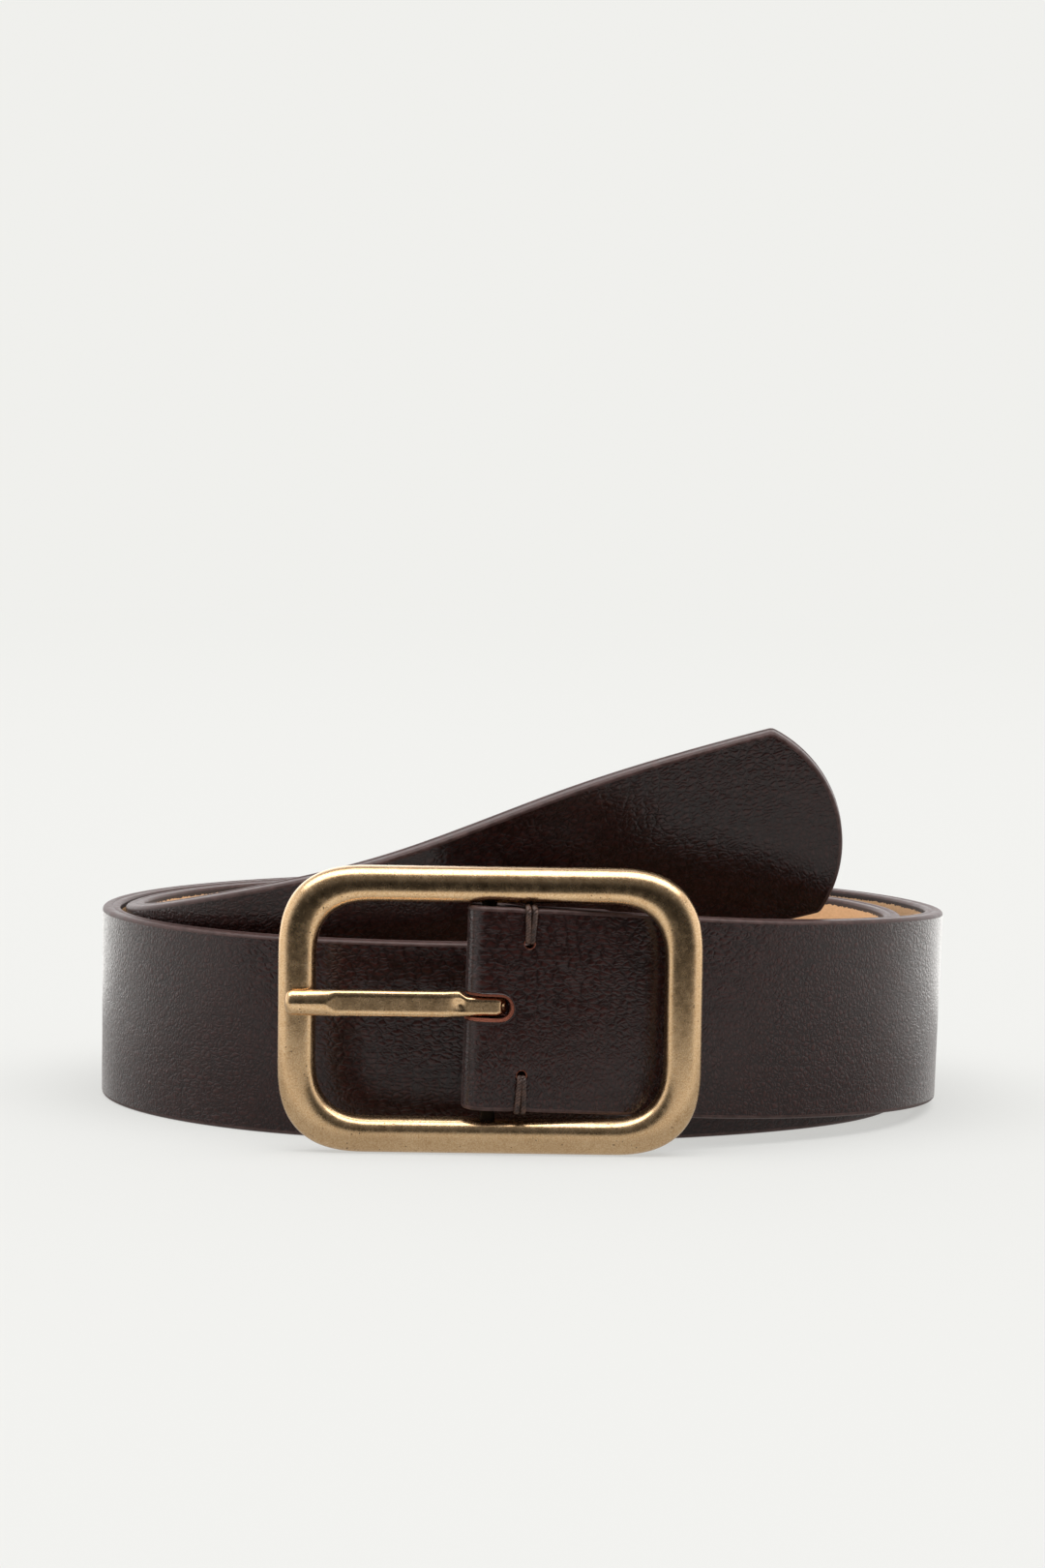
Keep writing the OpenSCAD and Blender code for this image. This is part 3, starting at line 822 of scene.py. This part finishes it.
def body_rows():
    """Rows from the tip to the bar.

    Each has its place and outward side in plan, half its height, its thickness, dome, lift and dent.
    """
    rows = []
    for back in np.linspace(BAR[0] - prong_low[0], 0, BODY_STEPS):
        slope = (front_at(back + SLOPE_STEP) - front_at(back - SLOPE_STEP)) / (2 * SLOPE_STEP)
        side = unit(np.array([-slope, -1.0]))
        clear_of_slot = smooth(back, *LEAVES_SLOT)
        half = EYE_HALF + (BODY_HALF - EYE_HALF) * clear_of_slot
        half += SWELL * smooth(back, *SWELLS) - TIP_SHRINK * smooth(back, *SHRINKS)
        thick = NECK_THICK + (BODY_THICK - NECK_THICK) * smooth(back, *THICKENS)
        dome = BODY_DOME * clear_of_slot + (1 - BODY_DOME) * smooth(back, *ROUNDS)
        lift = SLOT_MID + BODY_LIFT * clear_of_slot
        dent = CRIMP_DEEP * bell(back, CRIMP_BACK, CRIMP_LEN)
        rows.append(((-back, -front_at(back)), side, half, thick, dome, lift, dent))
    return rows


def eye_rows():
    """Rows round the bar, from its front by its right to its back, in the same form."""
    rows = []
    for degrees in np.linspace(EYE_START, EYE_STOP, EYE_STEPS)[1:]:
        a = math.radians(degrees)
        deep, power = (EYE_FRONT, EYE_SQUARE) if a < 0 else (EYE_BACK, 1.0)
        place = (EYE_REACH * signed_power(math.cos(a), power), deep * signed_power(math.sin(a), power))
        side = unit(np.array([math.cos(a) / EYE_REACH, math.sin(a) / deep]))
        half = EYE_HALF - (EYE_HALF - EYE_END_HALF) * smooth(degrees, *NARROWS)
        dent = CURL_DEEP * bell(degrees, CURL_ANGLE, CURL_SPAN)
        rows.append((place, side, half, EYE_THICK, 0.0, SLOT_MID, dent))
    return rows


def prong():
    """The prong, swept along its front line and rolled round the bar, with a rounded tip."""
    rows = body_rows() + eye_rows()
    end_x = rows[0][0][0]
    points = []
    for (x, y), side, half, thick, dome, lift, dent in rows:
        into = min(1.0, (x - end_x) / TIP_ROUND) if y < 0 else 1.0
        closing = math.sqrt(max(0.0, 1 - (1 - into) ** 2))
        half_here = half - TIP_ROUND * (1 - closing)
        thick_here = thick * (TIP_LEFT + (1 - TIP_LEFT) * closing)
        round_h = CORNER_H + (half_here * HEIGHT_MOST - CORNER_H) * dome
        round_d = min(CORNER_D + dome, thick_here * FRONT_MOST)
        back_r = min(BACK_CORNER, thick_here * BACK_MOST)
        set_back = (thick - thick_here) * TIP_FRONT
        for h, depth in prong_section(half_here, thick_here, round_h, round_d, back_r):
            hollow = dent * max(0.0, 1 - (h / DENT_HALF) ** 2) if depth < thick_here / 2 else 0.0
            inward = depth + set_back + hollow
            points.append((BAR[0] + x - side[0] * inward, BAR[1] + y - side[1] * inward, PRONG_Z + lift + h))
    count, m = len(rows), len(points) // len(rows)
    faces = [(a * m + b, (a + 1) * m + b, (a + 1) * m + (b + 1) % m, a * m + (b + 1) % m)
             for a in range(count - 1) for b in range(m)]
    faces += [list(range(m)), [(count - 1) * m + b for b in range(m)][::-1]]
    return make_mesh("prong_bar", points, faces, [BRASS])


link(prong(), "prong", "antique_brass", "prong")

# ---- the stitches ------------------------------------------------------------------------------


# Each stitch is STRANDS turns of thread, each of FILAMENTS that go once round each other every TWIST_LEN
STRANDS, FILAMENTS, STRAND_R, FILAMENT_R = 2, 3, 0.30, 0.32
TWIST_LEN, PATH_STEP, SOFTENINGS, FILAMENT_SIDES = 2.0, 0.22, 3, 7
# How far apart the turns are at the holes and at the strap's edge
HOLE_SPREAD, EDGE_SPREAD = 0.75, 1.32
# How far the thread's middle is from the face and the edge, as shares of its radius, and how far it lies
# towards the edge in its hole
ON_FACE, ON_EDGE, IN_HOLE = 0.55, 0.35, 0.3
# The part of the way from hole to edge that lies on a face, and the steps of each part of a turn
LIES_FROM, LIES_TO, LIES_STEPS, OVER_STEPS, THROUGH_STEPS = 0.04, 0.93, 16, 14, 12
# How far a turn bows out over the edge, and how far it sags inside the strap
EDGE_BOW, INNER_SAG = 0.45, 0.30
# Slanted directions that the sides of a thread and of its filaments are measured from
THREAD_SLANT, FILAMENT_SLANT = (1.0, 0.15, 0.1), (0.3, 1.0, 0.2)


def sides_of(path, slant):
    """Two directions square to a closed path at each of its points. The first is also square to slant."""
    way = unit(np.roll(path, -1, axis=0) - np.roll(path, 1, axis=0))
    across = unit(np.cross(way, np.array(slant)))
    return across, np.cross(way, across)


def tube(path, radius, sides):
    """Points and faces of a closed tube that follows a closed path."""
    points = []
    for p, a, b in zip(path, *sides_of(path, FILAMENT_SLANT)):
        for t in np.linspace(0, 2 * math.pi, sides, endpoint=False):
            points.append(p + radius * (a * math.cos(t) + b * math.sin(t)))
    n = len(path)
    faces = [(i * sides + k, i * sides + (k + 1) % sides, (i + 1) % n * sides + (k + 1) % sides,
              (i + 1) % n * sides + k) for i in range(n) for k in range(sides)]
    return points, faces


def arched(start, end, bow, steps):
    """Points between two places, moved by up to the vector bow halfway."""
    return [start + (end - start) * t + bow * math.sin(math.pi * t) for t in np.linspace(0, 1, steps)[1:-1]]


def strand_loop(reach, height, side, k):
    """One turn of thread: out of the front hole, over the edge, down behind, and back through."""
    spread = k - (STRANDS - 1) / 2
    share = SKIVED + (1 - SKIVED) * reach / THICKEN_LEN
    thread_r = STRAND_R + FILAMENT_R
    out = OUTER_T + thread_r * ON_FACE / share
    hole_h, edge_h = abs(height) + IN_HOLE, HALF + thread_r * ON_EDGE
    at_hole, at_edge = spread * HOLE_SPREAD, spread * EDGE_SPREAD
    t = np.linspace(LIES_FROM, LIES_TO, LIES_STEPS)
    apart = at_hole + (at_edge - at_hole) * t
    h = (hole_h + (edge_h - hole_h) * t) * side
    d = np.full_like(t, out)
    front = bend(np.stack([reach + apart, h, d], -1))
    back = bend(np.stack([flat_s(reach) - apart, h, d], -1))[::-1]
    up = unit(lookup(np.array([reach]), UP))[0] * side
    over = arched(front[-1], back[0], up * EDGE_BOW, OVER_STEPS)
    through = arched(back[-1], front[0], -up * INNER_SAG, THROUGH_STEPS)
    return np.vstack([front, over, back, through])


def resample(path, step):
    """Even points along a closed path, its corners softened, and the path's length."""
    closed = np.vstack([path, path[:1]])
    s = np.concatenate([[0], np.cumsum(np.linalg.norm(np.diff(closed, axis=0), axis=1))])
    t = np.linspace(0, s[-1], int(s[-1] / step), endpoint=False)
    made = np.stack([np.interp(t, s, closed[:, k]) for k in range(3)], -1)
    for _ in range(SOFTENINGS):
        made = (np.roll(made, 1, axis=0) + 2 * made + np.roll(made, -1, axis=0)) / 4
    return made, s[-1]


def stitches(name, reach, height, side):
    """A stitch: several turns of thread, each of filaments twisted together."""
    points, faces = [], []
    for k in range(STRANDS):
        path, length = resample(strand_loop(reach, height, side, k), PATH_STEP)
        across, over = sides_of(path, THREAD_SLANT)
        turns = round(length / TWIST_LEN)
        angle = np.linspace(0, 2 * math.pi * turns, len(path), endpoint=False)[:, None]
        for j in range(FILAMENTS):
            a = angle + 2 * math.pi * (j / FILAMENTS) + k
            line = path + STRAND_R * (across * np.cos(a) + over * np.sin(a))
            p, f = tube(line, FILAMENT_R, FILAMENT_SIDES)
            faces += [tuple(i + len(points) for i in face) for face in f]
            points += p
    return make_mesh(name, points, faces, [THREAD])


for node_name, (reach, height, side) in STITCHES.items():
    link(stitches(node_name + "_thread", reach, height, side), "strap", "waxed_thread", node_name)

# ---- the floor, the light and the camera -------------------------------------------------------


def plane(name, x, y, height):
    """A level rectangle of the stage, from its two ranges and its height."""
    mesh = bpy.data.meshes.new(name)
    corners = [(x[0], y[0]), (x[1], y[0]), (x[1], y[1]), (x[0], y[1])]
    mesh.from_pydata([(*c, height) for c in corners], [], [(0, 1, 2, 3)])
    made = bpy.data.objects.new(name, mesh)
    bpy.context.scene.collection.objects.link(made)
    return made


PALE = (0.871, 0.871, 0.845)
# The floor: half its size, the distances between which it fades into the backdrop, how much light it returns
# near the belt, and how much less it gives off there
FLOOR_HALF, FADE_FROM, FADE_TO, RETURNS, GIVES_LESS = 8.0, 0.35, 2.5, (0.208, 0.208, 0.203), 0.415
# The board: its two ranges, how far it is below the floor, and its brightness near the belt
BOARD_X, BOARD_Y, BOARD_DROP, BOARD_NEAR = (-1.2, 1.2), (-0.20, 2.0), 0.0005, 0.60
# In front, behind and beside the belt: where it starts to change, where it has changed, its brightness there
BOARD_FRONT, BOARD_BACK, BOARD_ASIDE = (-0.080, -0.125, 1.12), (0.09, 0.20, 1.85), (0.12, 0.24, 1.20)


def floor():
    """A pale floor with faint shadows, which fades into the backdrop. The belt doesn't reflect it."""
    seen = Finish("pale_floor")
    apart = seen.node("ShaderNodeVectorMath", {"operation": "LENGTH"})
    seen.join(seen.place(), apart.inputs[0])
    fade = seen.node("ShaderNodeMapRange", {"interpolation_type": "SMOOTHSTEP"}, Value=apart.outputs["Value"],
                     From_Min=FADE_FROM, From_Max=FADE_TO, To_Min=1.0, To_Max=0.0)
    near = fade.outputs["Result"]
    seen.set(Base_Color=seen.mix(near, rgba(0, 0, 0), rgba(*RETURNS)), Roughness=0.95,
             Specular_IOR_Level=0.0, Emission_Color=rgba(*PALE),
             Emission_Strength=seen.math("SUBTRACT", 1.0, seen.math("MULTIPLY", near, GIVES_LESS)))
    wide = plane("floor", (-FLOOR_HALF, FLOOR_HALF), (-FLOOR_HALF, FLOOR_HALF), 0.0)
    wide.data.materials.append(seen.material)
    wide.visible_glossy = False


def board():
    """What reflections show as the floor: shaded near the belt, and brighter away from it."""
    mirrored = Finish("pale_board")
    split = mirrored.node("ShaderNodeSeparateXYZ", Vector=mirrored.place())
    along, aside = split.outputs["Y"], mirrored.math("ABSOLUTE", split.outputs["X"])
    level = 0.0
    for place, (shaded, full, bright) in ((along, BOARD_FRONT), (along, BOARD_BACK), (aside, BOARD_ASIDE)):
        part = mirrored.node("ShaderNodeMapRange", {"interpolation_type": "SMOOTHSTEP"}, Value=place,
                             From_Min=shaded, From_Max=full, To_Min=BOARD_NEAR, To_Max=bright)
        level = mirrored.math("MAXIMUM", part.outputs["Result"], level)
    mirrored.set(Base_Color=rgba(0, 0, 0), Specular_IOR_Level=0.0, Emission_Color=rgba(*PALE),
                 Emission_Strength=level)
    under = plane("board", BOARD_X, BOARD_Y, -BOARD_DROP)
    under.data.materials.append(mirrored.material)
    under.visible_camera = under.visible_diffuse = under.visible_shadow = False


# The sky's lights. Each change is given as where it starts, where it ends, and the light before and after.
# The softbox is measured on a level plane one unit up, the walls and the glow by the direction itself.
SOFTBOX_SIDES, SOFTBOX_FRONT = (0.9, 1.3, 1.0, 0.0), (-0.69, -0.55, 0.0, 1.0)
SOFTBOX_BACK, SOFTBOX_LIGHT, LOWEST = (0.1, 0.4, 1.0, 0.0), 4.8, 0.001
WALL_FRONT, WALL_TOP, WALL_BACK = (-0.80, -0.25, 0.02, 1.40), (0.30, 0.75, 1.0, 0.30), (0.15, 0.80, 1.0, 1.60)
GLOW = (0.08, 0.40, 0.0, 0.13)


def sky():
    """Soft studio surroundings: a softbox overhead, pale walls behind and beside, a dark room in front."""
    world = bpy.data.worlds.new("studio")
    bpy.context.scene.world = world
    world.use_nodes = True
    nodes, links = world.node_tree.nodes, world.node_tree.links
    nodes.clear()

    def math_node(operation, a, b):
        node = nodes.new("ShaderNodeMath")
        node.operation = operation
        for socket, value in zip(node.inputs, (a, b)):
            if isinstance(value, bpy.types.NodeSocket):
                links.new(value, socket)
            else:
                socket.default_value = value
        return node.outputs["Value"]

    def between(value, change):
        node = nodes.new("ShaderNodeMapRange")
        node.interpolation_type = "SMOOTHSTEP"
        links.new(value, node.inputs["Value"])
        for key, number in zip(("From Min", "From Max", "To Min", "To Max"), change):
            node.inputs[key].default_value = number
        return node.outputs["Result"]

    way = nodes.new("ShaderNodeTexCoord")
    split = nodes.new("ShaderNodeSeparateXYZ")
    links.new(way.outputs["Generated"], split.inputs["Vector"])
    x, y, z = split.outputs
    height = math_node("MAXIMUM", z, LOWEST)
    across = math_node("ABSOLUTE", math_node("DIVIDE", x, height), 0.0)
    along = math_node("DIVIDE", y, height)
    softbox = math_node("MULTIPLY", between(across, SOFTBOX_SIDES), between(along, SOFTBOX_FRONT))
    softbox = math_node("MULTIPLY", softbox, between(along, SOFTBOX_BACK))
    walls = math_node("MULTIPLY", between(y, WALL_FRONT), between(z, WALL_TOP))
    walls = math_node("MULTIPLY", walls, between(y, WALL_BACK))
    glowing = math_node("ADD", walls, between(z, GLOW))
    light = math_node("ADD", glowing, math_node("MULTIPLY", softbox, SOFTBOX_LIGHT))
    lit, shown = nodes.new("ShaderNodeBackground"), nodes.new("ShaderNodeBackground")
    links.new(light, lit.inputs["Strength"])
    shown.inputs["Color"].default_value = rgba(*PALE)
    pick, path = nodes.new("ShaderNodeMixShader"), nodes.new("ShaderNodeLightPath")
    links.new(path.outputs["Is Camera Ray"], pick.inputs["Fac"])
    links.new(lit.outputs["Background"], pick.inputs[1])
    links.new(shown.outputs["Background"], pick.inputs[2])
    links.new(pick.outputs["Shader"], nodes.new("ShaderNodeOutputWorld").inputs["Surface"])


# The camera: its lens and film width, the nearest it sees, its place, and how far it looks down and is rolled
LENS, FILM, NEAREST, CAMERA_AT, LOOK_DOWN, ROLL = 90.3, 36.0, 0.05, (-0.001, -0.8332, 0.1374), 4.83, 0.75


def camera():
    """The camera stands in front of the buckle and a little above it, rolled very slightly."""
    data = bpy.data.cameras.new("camera")
    data.lens = LENS
    data.sensor_width = FILM
    data.clip_start = NEAREST
    eye = bpy.data.objects.new("camera", data)
    pitch, roll = math.radians(LOOK_DOWN), math.radians(ROLL)
    eye.matrix_world = (Matrix.Translation(CAMERA_AT)
                        @ Matrix.Rotation(math.pi / 2 - pitch, 4, "X") @ Matrix.Rotation(roll, 4, "Z"))
    bpy.context.scene.collection.objects.link(eye)
    bpy.context.scene.camera = eye


floor()
board()
sky()
camera()
bpy.context.scene.view_settings.view_transform = "Standard"
